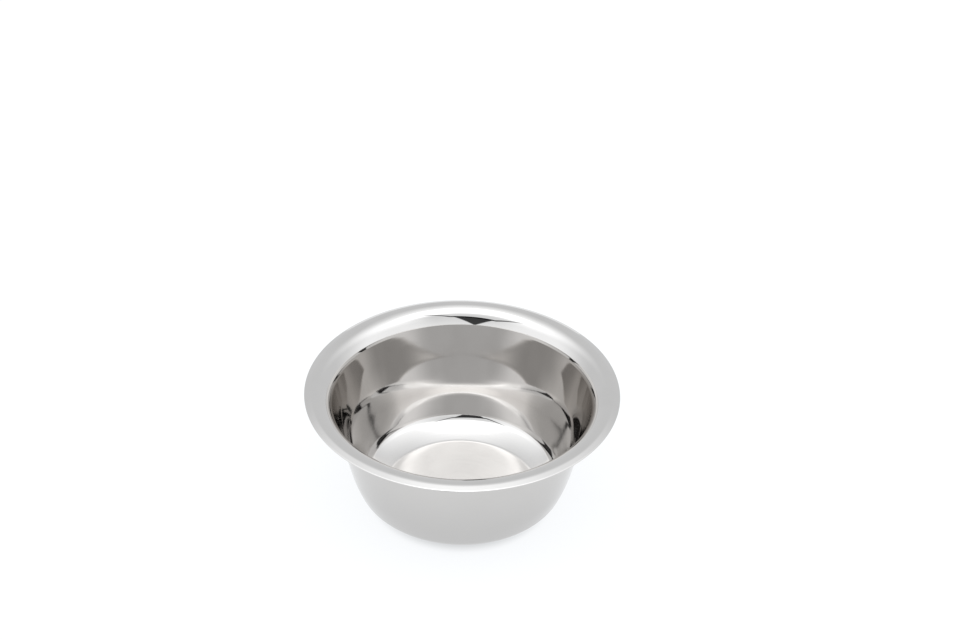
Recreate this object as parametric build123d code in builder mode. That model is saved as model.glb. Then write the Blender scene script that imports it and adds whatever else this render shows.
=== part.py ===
"""A round pressed-steel feeding bowl with a sloping lip and a rubber ring under its base.

Millimetres, +Z up. The origin is on the floor, on the bowl's axis.
"""

import os
from math import cos, radians, sin

from build123d import *

# Steel shell. Radii are on the food side of the sheet, and turns and the taper are in degrees.
rim_diameter = 160.0
shell_height = 66.0
sheet = 0.8
wall_taper = 13.8
floor_blend_radius = 7.0
floor_blend_turn = 22.0
dish_radius = 70.0
dish_turn = 8.0
corner_radius = 8.5
corner_turn = 37.5
wall_ease_radius = 85.0
shoulder_radius = 11.5
crest_radius = 6.0
crest_slope = 18.0
lip_slope = 24.0
lip_length = 2.7
edge_round_share = 0.4

# Rubber ring under the base
ring_thickness = 1.5
ring_width = 9.0
ring_inset = 2.0
ring_edge_radius = 0.4
groove_count = 3
groove_width = 1.0
groove_depth = 0.5

os.makedirs("parts", exist_ok=True)

# Levels, from the floor up
base_z = ring_thickness
floor_z = base_z + sheet
crest_z = base_z + shell_height

# The crest rolls from the shoulder over to the lip, which slopes down and out to a trimmed edge. That edge is
# rounded and is the widest part of the rim, so the top of the crest lies one lip reach inside it.
edge_radius = edge_round_share * sheet
edge_loss = edge_radius * (cos(radians(lip_slope)) + sin(radians(lip_slope)) - 1)
lip_reach = crest_radius * sin(radians(lip_slope)) + lip_length * cos(radians(lip_slope)) - edge_loss
crest_from_axis = rim_diameter / 2 - lip_reach

# From the flat of the base to the wall the sheet turns up in four bends: a blend out of the flat, a shallow
# dish, the tight corner, and a long ease that takes the rest of the turn.
wall_turn = 90.0 - wall_taper
wall_ease_turn = wall_turn - floor_blend_turn - dish_turn - corner_turn
base_bends = (
    (floor_blend_radius, floor_blend_turn),
    (dish_radius, dish_turn),
    (corner_radius, corner_turn),
    (wall_ease_radius, wall_ease_turn),
)

# The shoulder and the first half of the crest turn the sheet out again by the same angle. The straight wall
# takes up the height that all these bends leave, and the flat of the base takes up the radius.
shoulder_turn = wall_turn - crest_slope
rim_bends = ((crest_radius, crest_slope), (shoulder_radius, shoulder_turn))
bends_height = 0.0
bends_reach = 0.0
for bends in (base_bends, rim_bends):
    heading = 0.0
    for radius, turn in bends:
        bends_height += radius * (cos(radians(heading)) - cos(radians(heading + turn)))
        bends_reach += radius * (sin(radians(heading + turn)) - sin(radians(heading)))
        heading += turn
wall_length = (crest_z - floor_z - bends_height) / sin(radians(wall_turn))
base_flat_radius = crest_from_axis - bends_reach - wall_length * cos(radians(wall_turn))

# The food side of the sheet is drawn once, from the axis out to the lip, and the sheet's thickness is set off
# below and outside it.
with BuildPart() as bowl_shell:
    with BuildSketch(Plane.XZ):
        with BuildLine():
            base = Line((0, floor_z), (base_flat_radius, floor_z))
            for radius, turn in base_bends:
                base = JernArc(base @ 1, base % 1, radius=radius, arc_size=turn)
            wall = PolarLine(base @ 1, wall_length, direction=base % 1)
            shoulder = JernArc(wall @ 1, wall % 1, radius=shoulder_radius, arc_size=-shoulder_turn)
            crest = JernArc(
                shoulder @ 1, shoulder % 1, radius=crest_radius, arc_size=-(crest_slope + lip_slope)
            )
            PolarLine(crest @ 1, lip_length, direction=crest % 1)
            offset(amount=sheet, side=Side.RIGHT)
        make_face()
    revolve(axis=Axis.Z)
    # The lip's trimmed edge is rounded on both sides, so that it doesn't cut.
    level_edges = bowl_shell.edges().filter_by(GeomType.CIRCLE).filter_by(Plane.XY)
    lip_edges = level_edges.sort_by(SortBy.RADIUS)[-2:]
    fillet(lip_edges, radius=edge_radius)
bowl_shell.part.label = "bowl_shell"
export_step(bowl_shell.part, "parts/bowl_shell.step")

# A flat ring with grip grooves round its underside and softened lower edges.
ring_outer_radius = base_flat_radius - ring_inset
ring_inner_radius = ring_outer_radius - ring_width
groove_pitch = ring_width / (groove_count + 1)

with BuildPart() as non_slip_ring:
    with BuildSketch():
        Circle(ring_outer_radius)
        Circle(ring_inner_radius, mode=Mode.SUBTRACT)
    extrude(amount=ring_thickness)
    fillet(non_slip_ring.faces().sort_by(Axis.Z)[0].edges(), radius=ring_edge_radius)
    for step in range(1, groove_count + 1):
        groove_radius = ring_inner_radius + step * groove_pitch
        with BuildSketch():
            Circle(groove_radius + groove_width / 2)
            Circle(groove_radius - groove_width / 2, mode=Mode.SUBTRACT)
        extrude(amount=groove_depth, mode=Mode.SUBTRACT)
non_slip_ring.part.label = "non_slip_ring"
export_step(non_slip_ring.part, "parts/non_slip_ring.step")

print("flat of the base, radius", round(base_flat_radius, 2))
print("ring radii", round(ring_inner_radius, 2), round(ring_outer_radius, 2))
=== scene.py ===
# %% [markdown]
# # A pressed steel feeding bowl
#
# The bowl is one sheet of stainless steel, pressed into a cup with a wide rounded shoulder and a
# lip that slopes down round its rim, and polished until it is a mirror. A ring of rubber is bonded under
# its base so that it does not slide while an animal eats. This lesson draws both pieces as sections,
# spins them, gives them a finish and lights them.
#
# The measured solids come first. They are the frame that every piece here has to fit, and their boxes
# give the pieces their overall sizes.

# %% Load the measured solids
from math import cos, degrees, pi, radians, sin

import bmesh
import bpy
from mathutils import Euler, Matrix, Vector


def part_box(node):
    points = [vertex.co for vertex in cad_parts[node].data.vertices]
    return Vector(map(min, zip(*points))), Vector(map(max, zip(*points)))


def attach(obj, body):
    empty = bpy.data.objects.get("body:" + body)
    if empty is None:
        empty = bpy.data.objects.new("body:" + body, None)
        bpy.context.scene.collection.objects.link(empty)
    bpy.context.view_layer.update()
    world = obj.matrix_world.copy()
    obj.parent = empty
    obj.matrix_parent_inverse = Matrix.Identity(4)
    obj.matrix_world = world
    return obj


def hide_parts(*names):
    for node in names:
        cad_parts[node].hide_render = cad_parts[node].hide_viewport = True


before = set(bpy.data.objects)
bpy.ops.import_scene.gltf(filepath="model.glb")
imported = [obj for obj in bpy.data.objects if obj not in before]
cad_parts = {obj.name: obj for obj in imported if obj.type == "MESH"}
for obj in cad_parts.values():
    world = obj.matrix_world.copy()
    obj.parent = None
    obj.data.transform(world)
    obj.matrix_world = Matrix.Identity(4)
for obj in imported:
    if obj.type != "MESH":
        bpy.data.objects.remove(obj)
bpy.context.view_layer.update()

# %% [markdown]
# ## The camera
#
# A mirror shows where the camera stands, so the camera comes before the metal. The rim of a round
# bowl is seen as an ellipse: how flat it is gives the height of the view, and how much the far side
# shrinks gives the distance. A longish lens about a metre and a quarter away agrees with all of the
# rim, the wall and the base. The camera also leans a little, so that the right side sits lower.

# %% Stand the camera
camera_place = Vector((0.00821, -0.96857, 0.80158))
camera_dip = radians(35.519)
camera_lean = radians(1.215)
lens_mm = 90.0
sensor_mm = 36.0

camera = bpy.data.objects.new("camera", bpy.data.cameras.new("camera"))
camera.data.lens = lens_mm
camera.data.sensor_width = sensor_mm
aim = Euler((pi / 2 - camera_dip, 0, 0)).to_matrix().to_4x4() @ Matrix.Rotation(camera_lean, 4, "Z")
camera.matrix_world = Matrix.Translation(camera_place) @ aim
bpy.context.scene.collection.objects.link(camera)
bpy.context.scene.camera = camera
print("camera stands", round(camera_place.length, 3), "m from the middle of the base")

# %% [markdown]
# ## A pen for sections
#
# Everything here is round, so each piece is a section drawn in the XZ plane and spun about Z. A
# section could be typed as a list of points, but then its arcs are guesses. Instead one vertex is
# used as a pen. It has a place and a heading: a straight run extrudes it step by step, and a bend
# swings it about a centre beside it, with the same spin operator that later turns the whole section.
# The steps stay close together where the metal curves, because a mirror shows every facet.

# %% Make the pen
mm = 0.001


class Pen:
    """Draws a section in the XZ plane. Its heading is 0 outwards from the axis and grows upwards."""

    def __init__(self, radius, height, heading):
        self.section = bmesh.new()
        self.tip = self.section.verts.new((radius, 0, height))
        self.heading = heading

    def run(self, length, steps=1):
        """Draw straight ahead in equal steps."""
        stride = Vector((cos(self.heading), 0, sin(self.heading))) * length / steps
        for _ in range(steps):
            self.tip = bmesh.ops.extrude_vert_indiv(self.section, verts=[self.tip])["verts"][0]
            bmesh.ops.translate(self.section, verts=[self.tip], vec=stride)

    def bend(self, radius, turn, steps):
        """Draw an arc that turns the heading upwards, or downwards for a negative turn."""
        side = radius if turn > 0 else -radius
        centre = self.tip.co + Vector((-sin(self.heading), 0, cos(self.heading))) * side
        swung = bmesh.ops.spin(self.section, geom=[self.tip], cent=centre, axis=(0, -1, 0),
                               angle=turn, steps=steps)
        self.tip = next(g for g in swung["geom_last"] if isinstance(g, bmesh.types.BMVert))
        self.heading += turn

    def corner(self, turn):
        """Change the heading without drawing."""
        self.heading += turn


print("the pen is ready")


# %% [markdown]
# A spun section meets itself at its seam and on the axis. The seam is merged by the spin, the copies
# of the point on the axis are merged after it, and only then are the faces turned outwards. A moulded
# piece has no sharp edges, so its creases can be bevelled by a given width: the edges that turn by more
# than a given angle are picked out, and the rest is left alone.

# %% Spin a section into a piece
merge_distance = 0.001 * mm
crease_angle = radians(60)


def spin_piece(name, section, steps, soften=0):
    """Turn a drawn section about Z into a closed piece, soften its creases and shade it smooth."""
    bmesh.ops.spin(section, geom=section.verts[:] + section.edges[:], cent=(0, 0, 0), axis=(0, 0, 1),
                   angle=2 * pi, steps=steps, use_merge=True)
    bmesh.ops.remove_doubles(section, verts=section.verts, dist=merge_distance)
    bmesh.ops.recalc_face_normals(section, faces=section.faces)
    if soften:
        creases = [edge for edge in section.edges if edge.calc_face_angle() > crease_angle]
        bmesh.ops.bevel(section, geom=creases, offset=soften, offset_type="OFFSET", affect="EDGES",
                        segments=2, profile=0.5, material=-1)
    mesh = bpy.data.meshes.new(name)
    section.to_mesh(mesh)
    section.free()
    mesh.shade_smooth()
    piece = bpy.data.objects.new(name, mesh)
    bpy.context.scene.collection.objects.link(piece)
    print(name, "has", len(mesh.polygons), "faces")
    return piece


print("the spin is ready")

# %% [markdown]
# ## The steel shell
#
# The press leaves five stretches on the food side: the flat floor, the base bends, the leaning wall,
# the shoulder that flares out and rolls over the crest, and the lip that slopes down to a trimmed edge.
# The base bends are four arcs in a row: a blend out of the floor, a shallow dish, the tight corner
# and a long ease into the wall. What the inside mirrors depends on every one of them, so each has its
# own radius and turn. The overall sizes are read from the solid, and the rest are the press tool's own.

# %% Read and name the shell's sizes
shell_low, shell_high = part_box("bowl_shell")
rim_radius = shell_high.x
crest_z = shell_high.z
base_z = shell_low.z
sheet = 0.8 * mm
wall_taper = radians(13.8)
floor_blend = (7.0 * mm, radians(22))
dish = (70.0 * mm, radians(8))
tight_corner = (8.5 * mm, radians(37.5))
wall_ease_radius = 85.0 * mm
shoulder_radius = 11.5 * mm
crest_roll = (6.0 * mm, radians(18))
lip_slope = radians(24)
lip_length = 2.7 * mm
edge_radius = 0.4 * sheet

floor_z = base_z + sheet
wall_turn = pi / 2 - wall_taper
wall_ease_turn = wall_turn - floor_blend[1] - dish[1] - tight_corner[1]
base_bends = (floor_blend, dish, tight_corner, (wall_ease_radius, wall_ease_turn))
shoulder_turn = wall_turn - crest_roll[1]
rim_bends = (crest_roll, (shoulder_radius, shoulder_turn))
print("the base bends turn", [round(degrees(turn), 1) for radius, turn in base_bends], "degrees")

# %% [markdown]
# The straight wall takes up the height that the bends leave, and the flat floor takes up the radius.
# Both come from adding up how far each bend goes out and up.

# %% Work out the wall and the floor
lip_reach = crest_roll[0] * sin(lip_slope) + lip_length * cos(lip_slope)
lip_reach -= edge_radius * (cos(lip_slope) + sin(lip_slope) - 1)
bends_out = 0
bends_up = 0
for bends in (base_bends, rim_bends):
    heading = 0
    for radius, turn in bends:
        bends_out += radius * (sin(heading + turn) - sin(heading))
        bends_up += radius * (cos(heading) - cos(heading + turn))
        heading += turn
wall_length = (crest_z - floor_z - bends_up) / sin(wall_turn)
floor_radius = rim_radius - lip_reach - bends_out - wall_length * cos(wall_turn)
print("wall", round(wall_length / mm, 2), "mm long, floor radius", round(floor_radius / mm, 2), "mm")

# %% [markdown]
# The pen starts in the middle of the food floor, goes up the inside, over the lip and round its
# trimmed edge, and comes back down the outside one sheet further out. At the edge it rounds both
# corners of the cut sheet, because a bare edge would cut a tongue.

# %% Draw and spin the shell
pen = Pen(0, floor_z, heading=0)
pen.run(floor_radius, steps=12)
for radius, turn in base_bends:
    pen.bend(radius, turn, steps=20)
pen.run(wall_length, steps=20)
pen.bend(shoulder_radius, -shoulder_turn, steps=40)
pen.bend(crest_roll[0], -(crest_roll[1] + lip_slope), steps=24)
pen.run(lip_length - edge_radius, steps=4)
pen.bend(edge_radius, -pi / 2, steps=8)
pen.run(sheet - 2 * edge_radius)
pen.bend(edge_radius, -pi / 2, steps=8)
pen.run(lip_length - edge_radius, steps=4)
pen.bend(crest_roll[0] - sheet, crest_roll[1] + lip_slope, steps=16)
pen.bend(shoulder_radius - sheet, shoulder_turn, steps=32)
pen.run(wall_length, steps=16)
for radius, turn in reversed(base_bends):
    pen.bend(radius + sheet, -turn, steps=16)
pen.run(floor_radius, steps=8)
bowl = spin_piece("bowl_shell_steel", pen.section, steps=288)

# %% [markdown]
# ## The rubber ring
#
# The ring is a flat moulded washer with rounded lower edges and three grooves, which let the rubber
# give and grip. It is hidden at this angle but it is what the bowl stands on. The section has square
# grooves, and after the spin a bevel softens every crease of the moulding by a tenth of a millimetre.

# %% Draw and spin the ring
ring_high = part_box("non_slip_ring")[1]
ring_top = ring_high.z
ring_outer = ring_high.x
ring_width = 9.0 * mm
ring_edge = 0.4 * mm
ring_softening = 0.1 * mm
groove_count = 3
groove_width = 1.0 * mm
groove_depth = 0.5 * mm
groove_pitch = ring_width / (groove_count + 1)
land = groove_pitch - groove_width

pen = Pen(ring_outer - ring_width, ring_top, heading=-pi / 2)
pen.run(ring_top - ring_edge, steps=3)
pen.bend(ring_edge, pi / 2, steps=6)
pen.run(land + groove_width / 2 - ring_edge, steps=2)
for groove in range(groove_count):
    for turn, length in ((pi / 2, groove_depth), (-pi / 2, groove_width), (-pi / 2, groove_depth)):
        pen.corner(turn)
        pen.run(length, steps=2)
    pen.corner(pi / 2)
    if groove < groove_count - 1:
        pen.run(land, steps=2)
pen.run(land + groove_width / 2 - ring_edge, steps=2)
pen.bend(ring_edge, pi / 2, steps=6)
pen.run(ring_top - ring_edge, steps=3)
pen.corner(pi / 2)
pen.run(ring_width, steps=4)
foot = spin_piece("non_slip_ring_rubber", pen.section, steps=256, soften=ring_softening)

# %% [markdown]
# ## Polished steel
#
# A polished bowl has almost no colour of its own: it shows the room. What makes it read as pressed
# steel are its small faults. The sheet is faintly wavy where the press drew it, the buffing wheel left
# fine lines round the bowl, and wiping left a slightly hazy film in places. Each fault gets its own
# texture on Object coordinates, at its real scale, and drives bump, roughness or colour.

# %% Helpers for wiring nodes


def wire(tree, socket, value):
    """Give a socket a plain value, or join it to another node's output."""
    if isinstance(value, bpy.types.NodeSocket):
        tree.links.new(value, socket)
    else:
        socket.default_value = value


def maths(tree, operation, *values):
    """Add a Math node and return its output."""
    node = tree.nodes.new("ShaderNodeMath")
    node.operation = operation
    for socket, value in zip(node.inputs, values):
        wire(tree, socket, value)
    return node.outputs[0]


def blend_over(tree, value, low, high, out_low, out_high):
    """Map a value smoothly from one range to another with a Map Range node."""
    node = tree.nodes.new("ShaderNodeMapRange")
    node.interpolation_type = "SMOOTHSTEP"
    for name, number in (("Value", value), ("From Min", low), ("From Max", high),
                         ("To Min", out_low), ("To Max", out_high)):
        wire(tree, node.inputs[name], number)
    return node.outputs["Result"]


def noise(tree, place, scale, detail=2.0):
    """Add a Noise texture at so many features a metre and return its factor."""
    node = tree.nodes.new("ShaderNodeTexNoise")
    node.inputs["Scale"].default_value = scale
    node.inputs["Detail"].default_value = detail
    wire(tree, node.inputs["Vector"], place)
    return node.outputs["Fac"]


def bump(tree, height, depth, under=None):
    """Add a Bump node for a height of so many metres, on top of another bump."""
    node = tree.nodes.new("ShaderNodeBump")
    node.inputs["Distance"].default_value = depth
    wire(tree, node.inputs["Height"], height)
    if under is not None:
        wire(tree, node.inputs["Normal"], under)
    return node.outputs["Normal"]


def mix_colours(tree, share, first, second):
    """Add a Mix node that goes from one colour to another and return its colour."""
    node = tree.nodes.new("ShaderNodeMix")
    node.data_type = "RGBA"
    sockets = [socket for socket in node.inputs if socket.type == "RGBA"]
    wire(tree, node.inputs[0], share)
    wire(tree, sockets[0], first)
    wire(tree, sockets[1], second)
    return next(socket for socket in node.outputs if socket.type == "RGBA")


def new_material(name):
    """A node material with only its shader and its output, and the tree to build on."""
    material = bpy.data.materials.new(name)
    material.use_nodes = True
    tree = material.node_tree
    return material, tree, tree.nodes["Principled BSDF"]


print("node helpers are ready")

# %% [markdown]
# The buffing wheel worked round the bowl, so its lines follow the turn of the metal, not X or Y. Their
# texture is read at a place on the lathe: distance from the axis, height, and a little of the way
# round, so that no line runs the whole way.

# %% Find a place on the lathe


def off_axis(tree, place):
    """Add nodes that measure how far a place is from the bowl's axis."""
    level = tree.nodes.new("ShaderNodeVectorMath")
    level.operation = "MULTIPLY"
    level.inputs[1].default_value = (1, 1, 0)
    wire(tree, level.inputs[0], place)
    length = tree.nodes.new("ShaderNodeVectorMath")
    length.operation = "LENGTH"
    wire(tree, length.inputs[0], level.outputs["Vector"])
    return length.outputs["Value"]


def split(tree, place):
    """Add a node that gives the X, Y and Z of a place."""
    node = tree.nodes.new("ShaderNodeSeparateXYZ")
    wire(tree, node.inputs["Vector"], place)
    return node.outputs["X"], node.outputs["Y"], node.outputs["Z"]


def on_lathe(tree, place, drift):
    """Add nodes for a place on the lathe, where drift is how fast the lines die out round the bowl."""
    across, along, height = split(tree, place)
    node = tree.nodes.new("ShaderNodeCombineXYZ")
    wire(tree, node.inputs["X"], off_axis(tree, place))
    wire(tree, node.inputs["Y"], maths(tree, "MULTIPLY", across, drift))
    wire(tree, node.inputs["Z"], maths(tree, "MULTIPLY_ADD", along, drift, height))
    return node.outputs["Vector"]


print("lathe places are ready")

# %% [markdown]
# The shoulder and the inside of the wall are mirror bright. The food floor is a little hazier, because
# bowls are scrubbed there, and the underside is only brushed: nobody looks at it. Heights tell these
# apart. The outside of the wall faces slightly downwards, and the wheel reaches it less and less towards
# the base, so it is rougher there. Its colour is also darkened there, most towards the base. That is
# painted shade, standing for the shadowed floor that the wall mirrors. The haze dulls the colour too, as
# a film of wiping marks does.

# %% Mix the steel
steel_bright = (0.650, 0.634, 0.618, 1)
steel_hazed = (0.626, 0.610, 0.594, 1)
# painted shade: a darker steel colour for the outside of the wall
steel_painted_shade = (0.535, 0.525, 0.516, 1)
press_waves = 26.0
press_wave_depth = 0.006 * mm
buffing_lines = 620.0
buffing_depth = 0.0005 * mm
buffing_drift = 0.035
wiping_marks = 38.0
mirror_roughness = 0.035
haze_roughness = 0.035
scrubbed_roughness = 0.11
satin_roughness = 0.08
brushed_roughness = 0.22
haze_span = (0.42, 0.72)
underside_span = (base_z + 0.25 * sheet, base_z + 0.75 * sheet)
scrubbed_span = (floor_z + 1.0 * mm, floor_z + 6.0 * mm)
outside_span = (-0.2, -0.05)
satin_and_shade_span = (10.0 * mm, 60.0 * mm)
satin_and_shade_at_top = 0.5
streak_span = (0.3, 0.7)
streak_gain = (0.8, 1.25)

steel, tree, shader = new_material("mirror_polished_steel")
coordinates = tree.nodes.new("ShaderNodeTexCoord")
place = coordinates.outputs["Object"]
height = split(tree, place)[2]
facing_up = split(tree, coordinates.outputs["Normal"])[2]
lathe = on_lathe(tree, place, buffing_drift)

wavy = bump(tree, noise(tree, place, press_waves, detail=1.0), press_wave_depth)
lines = noise(tree, lathe, buffing_lines, detail=3.0)
wire(tree, shader.inputs["Normal"], bump(tree, lines, buffing_depth, under=wavy))

haze = blend_over(tree, noise(tree, place, wiping_marks, detail=5.0), *haze_span, 0.0, 1.0)
underside = blend_over(tree, height, *underside_span, 1.0, 0.0)
scrubbed = blend_over(tree, height, *scrubbed_span, 1.0, 0.0)
outside = blend_over(tree, facing_up, *outside_span, 1.0, 0.0)
satin_and_painted_shade = maths(tree, "MULTIPLY", outside, blend_over(tree, height, *satin_and_shade_span, 1.0, satin_and_shade_at_top))
roughness = maths(tree, "MULTIPLY_ADD", haze, haze_roughness, mirror_roughness)
roughness = maths(tree, "MULTIPLY_ADD", satin_and_painted_shade, satin_roughness, roughness)
roughness = maths(tree, "MULTIPLY_ADD", scrubbed, scrubbed_roughness, roughness)
roughness = maths(tree, "MULTIPLY_ADD", underside, brushed_roughness, roughness)
streaks = blend_over(tree, lines, *streak_span, *streak_gain)
wire(tree, shader.inputs["Roughness"], maths(tree, "MULTIPLY", roughness, streaks))

tone = mix_colours(tree, haze, steel_bright, steel_hazed)
# painted shade: the outside of the wall, most near the base, gets the darker steel colour; its extra
# roughness is real satin
wire(tree, shader.inputs["Base Color"], mix_colours(tree, satin_and_painted_shade, tone, steel_painted_shade))
shader.inputs["Metallic"].default_value = 1.0
bowl.data.materials.append(steel)
print("steel has", len(tree.nodes), "nodes")

# %% [markdown]
# ## Moulded rubber
#
# Black rubber is never quite black. Its skin has a fine pebble from the mould, the faces that touch
# the floor are rubbed smoother and greyer, and pale dust stays in the grooves where nothing wipes it
# out. Height tells the worn face from the grooves.

# %% Mix the rubber
rubber_black = (0.018, 0.018, 0.019, 1)
rubber_dusty = (0.075, 0.072, 0.068, 1)
pebble_scale = 1500.0
pebble_depth = 0.02 * mm
dust_scale = 160.0
moulded_roughness = 0.82
worn_roughness = 0.6
worn_span = (0.02 * mm, 0.15 * mm)
speck_span = (0.45, 0.75)
least_specks = 0.15
dust_span = (0.3 * groove_depth, groove_depth)
least_dust = 0.25

rubber, tree, shader = new_material("moulded_rubber")
place = tree.nodes.new("ShaderNodeTexCoord").outputs["Object"]
height = split(tree, place)[2]
pebble = noise(tree, place, pebble_scale, detail=3.0)
wire(tree, shader.inputs["Normal"], bump(tree, pebble, pebble_depth))
worn = blend_over(tree, height, *worn_span, 1.0, 0.0)
specks = blend_over(tree, noise(tree, place, dust_scale, detail=6.0), *speck_span, least_specks, 1.0)
in_groove = blend_over(tree, height, *dust_span, least_dust, 1.0)
dust = maths(tree, "MULTIPLY", specks, in_groove)
wire(tree, shader.inputs["Base Color"], mix_colours(tree, dust, rubber_black, rubber_dusty))
wire(tree, shader.inputs["Roughness"],
     blend_over(tree, worn, 0.0, 1.0, moulded_roughness, worn_roughness))
foot.data.materials.append(rubber)
print("rubber has", len(tree.nodes), "nodes")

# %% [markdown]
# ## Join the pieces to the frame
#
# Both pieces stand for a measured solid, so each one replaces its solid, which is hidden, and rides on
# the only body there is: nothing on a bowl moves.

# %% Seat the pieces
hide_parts("bowl_shell")
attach(bowl, "root")
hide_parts("non_slip_ring")
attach(foot, "root")
print("seated", bowl.name, "and", foot.name)

# %% [markdown]
# ## A white floor
#
# The bowl stands on a light table: a milky white sheet that lamps light from below. A mirror sees the
# table too, and the outside of the wall shows nothing else, so it is wide. Because the sheet glows of
# its own, the bowl throws only a pale shadow on it. Under and round the base the glow is turned down.
# That is a painted shadow, and it fades in round its edge. Without it the bowl would seem to float.

# %% Lay the floor
floor_side = 8.0
floor_white = 0.16
floor_glow = 0.86
glow_tint = (0.985, 1.0, 1.016, 1.0)
painted_shadow_glow = 0.56
painted_shadow_radius = 40.0 * mm
painted_shadow_fade = 10.0 * mm

floor_mesh = bmesh.new()
bmesh.ops.create_grid(floor_mesh, x_segments=1, y_segments=1, size=floor_side / 2)
floor = bpy.data.objects.new("floor", bpy.data.meshes.new("floor"))
floor_mesh.to_mesh(floor.data)
floor_mesh.free()
bpy.context.scene.collection.objects.link(floor)
milky, tree, shader = new_material("milky_sheet")
shader.inputs["Base Color"].default_value = (floor_white, floor_white, floor_white, 1)
shader.inputs["Emission Color"].default_value = glow_tint
from_axis = off_axis(tree, tree.nodes.new("ShaderNodeTexCoord").outputs["Object"])
# painted shadow: the sheet's glow is turned down under and round the base
glow_with_painted_shadow = blend_over(tree, from_axis, painted_shadow_radius, painted_shadow_radius + painted_shadow_fade, painted_shadow_glow, floor_glow)
wire(tree, shader.inputs["Emission Strength"], glow_with_painted_shadow)
shader.inputs["Roughness"].default_value = 1.0
shader.inputs["Specular IOR Level"].default_value = 0.0
floor.data.materials.append(milky)
print("floor is", floor_side, "m wide")

# %% [markdown]
# ## A light tent
#
# Polished metal is photographed inside a tent of white cloth, because everything else in the room
# would show in it. Lamps could stand round the bowl, but each would print its own hard shape on the
# mirror. Painting the tent on the world is simpler: its brightness depends only on the direction.
#
# The first profile is an arch in the middle plane, from the back, over the top, to the camera. The
# cloth behind is greyest, a panel overhead is brightest, and the front is in between.

# %% Paint the arch of the tent
arch_profile = ((0, 0.83), (60, 0.83), (72, 1.03), (80, 1.27), (88, 1.52), (93, 2.8), (98, 2.6),
                (102, 2.1), (115, 1.95), (119, 1.28), (126, 1.0), (155, 1.08), (180, 1.2))
arch_peak = max(level for angle, level in arch_profile)

world = bpy.data.worlds.new("light_tent")
bpy.context.scene.world = world
world.use_nodes = True
tree = world.node_tree
across, back, up = split(tree, tree.nodes.new("ShaderNodeTexCoord").outputs["Generated"])
aside = maths(tree, "ABSOLUTE", across)

ramp = tree.nodes.new("ShaderNodeValToRGB")
stops = ramp.color_ramp.elements
stops.remove(stops[1])
for angle, level in arch_profile:
    stop = stops[0] if angle == 0 else stops.new(angle / 180)
    share = level / arch_peak
    stop.color = (share, share, share, 1)
wire(tree, ramp.inputs["Fac"], maths(tree, "DIVIDE", maths(tree, "ARCTAN2", up, back), pi))
arch = maths(tree, "MULTIPLY", ramp.outputs["Color"], arch_peak)
print("the arch has", len(stops), "stops")

# %% [markdown]
# Away from the middle plane the cloth is lit by the lamps at the sides: darker behind, brighter in
# front, and brighter towards the top. The arch passes into it smoothly.

# %% Add the sides of the tent
side_back, side_front = 0.84, 1.36
side_span = (-0.2, 0.6)
side_lift = 0.45
lift_span = (0.45, 0.85)
arch_span = (0.30, 0.75)

side = blend_over(tree, back, *side_span, side_front, side_back)
side = maths(tree, "ADD", side, blend_over(tree, up, *lift_span, 0.0, side_lift))
in_arch = blend_over(tree, aside, *arch_span, 1.0, 0.0)
tent = maths(tree, "MULTIPLY_ADD", maths(tree, "SUBTRACT", arch, side), in_arch, side)
print("the tent goes from", side_back, "behind to", side_front, "in front")

# %% [markdown]
# The lens looks in through a gap where two cloths are drawn apart, wide at the top and closing
# downwards, a little to one side and not quite level. From its top corners the seams of the cloth rise
# to both sides as dark lines that fade out. Gap and seams are all the dark there is for the bowl to
# mirror, and the black marks on its shoulder and round its floor are pictures of them. On the camera's
# side, directions are divided by their depth, which makes the gap a plain triangle.

# %% Cut the gap for the lens
gap_low, gap_high = 0.0, 0.99
gap_half_width = 0.37
gap_aside = -0.15
gap_tilt = 0.3
gap_glow = 0.06
seam_rise = 1.6
seam_half_width = 0.09
seam_edges = (0.5 * seam_half_width, 1.5 * seam_half_width)
seam_reach = 2.0
seam_fade = (0.3 * seam_reach, seam_reach)
seam_glow = 0.1
soft_edge = 0.02
least_depth = 0.01
tent_tint = (0.978, 1.0, 1.024, 1.0)

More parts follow.
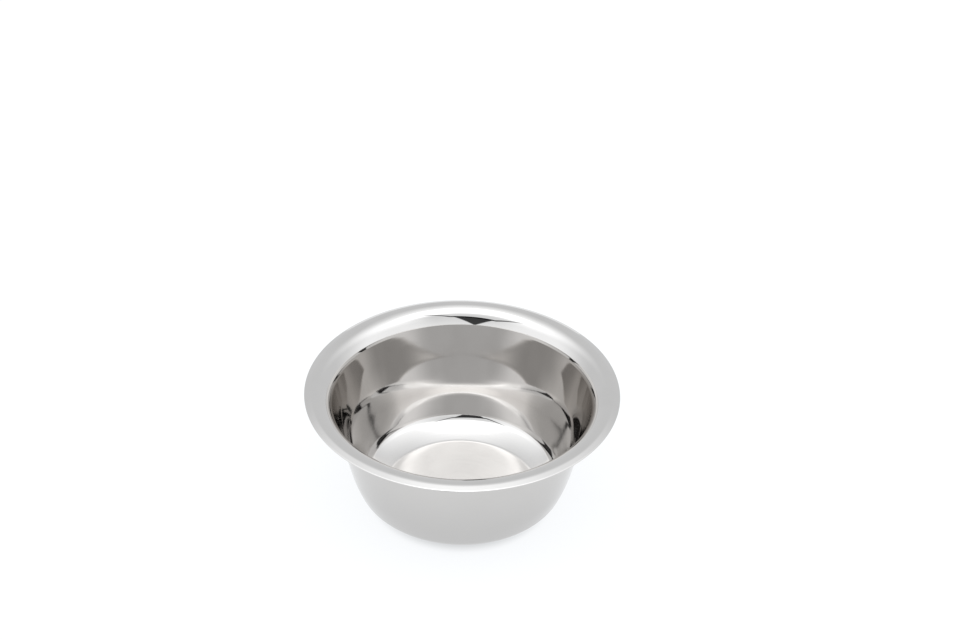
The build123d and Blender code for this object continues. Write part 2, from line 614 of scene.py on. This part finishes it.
depth = maths(tree, "MAXIMUM", maths(tree, "MULTIPLY", back, -1.0), least_depth)
gap_across = maths(tree, "SUBTRACT", maths(tree, "DIVIDE", across, depth), gap_aside)
gap_up = maths(tree, "MULTIPLY_ADD", gap_across, -gap_tilt, maths(tree, "DIVIDE", up, depth))
gap_across = maths(tree, "ABSOLUTE", gap_across)
gap_slope = gap_half_width / (gap_high - gap_low)
half_width = maths(tree, "MULTIPLY", maths(tree, "SUBTRACT", gap_up, gap_low), gap_slope)
inside = maths(tree, "SUBTRACT", half_width, gap_across)
below_top = blend_over(tree, gap_up, gap_high - soft_edge, gap_high + soft_edge, 1.0, 0.0)
gap = maths(tree, "MULTIPLY", blend_over(tree, inside, -soft_edge, soft_edge, 0.0, 1.0), below_top)

past_corner = maths(tree, "MAXIMUM", maths(tree, "SUBTRACT", gap_across, gap_half_width), 0.0)
seam_up = maths(tree, "MULTIPLY_ADD", past_corner, seam_rise, gap_high - seam_half_width)
off_seam = maths(tree, "ABSOLUTE", maths(tree, "SUBTRACT", gap_up, seam_up))
seam = blend_over(tree, off_seam, *seam_edges, 1.0 - seam_glow, 0.0)
seam = maths(tree, "MULTIPLY", seam, blend_over(tree, gap_across, *seam_fade, 1.0, 0.0))
tent = maths(tree, "MULTIPLY", tent, maths(tree, "SUBTRACT", 1.0, seam))
tent = maths(tree, "MULTIPLY", tent, maths(tree, "MULTIPLY_ADD", gap, gap_glow - 1.0, 1.0))

background = tree.nodes["Background"]
background.inputs["Color"].default_value = tent_tint
wire(tree, background.inputs["Strength"], tent)
print("the tent has", len(tree.nodes), "nodes")

# %% [markdown]
# ## Colour and bounces
#
# Inside the bowl light goes from wall to wall many times before it leaves, so the limit on glossy
# bounces is raised: with too few, the corners would turn black. Dim paths are normally dropped at
# random to save time, which shows as grain after so many bounces, so the first dozen are always kept.
# The plain display transform keeps the white sheet white.

# %% Set the colour and the bounces
bounce_limit = 24
kept_bounces = 12

scene = bpy.context.scene
scene.view_settings.view_transform = "Standard"
scene.cycles.max_bounces = bounce_limit
scene.cycles.glossy_bounces = bounce_limit
scene.cycles.min_light_bounces = kept_bounces
print("light may bounce", scene.cycles.max_bounces, "times inside the bowl")
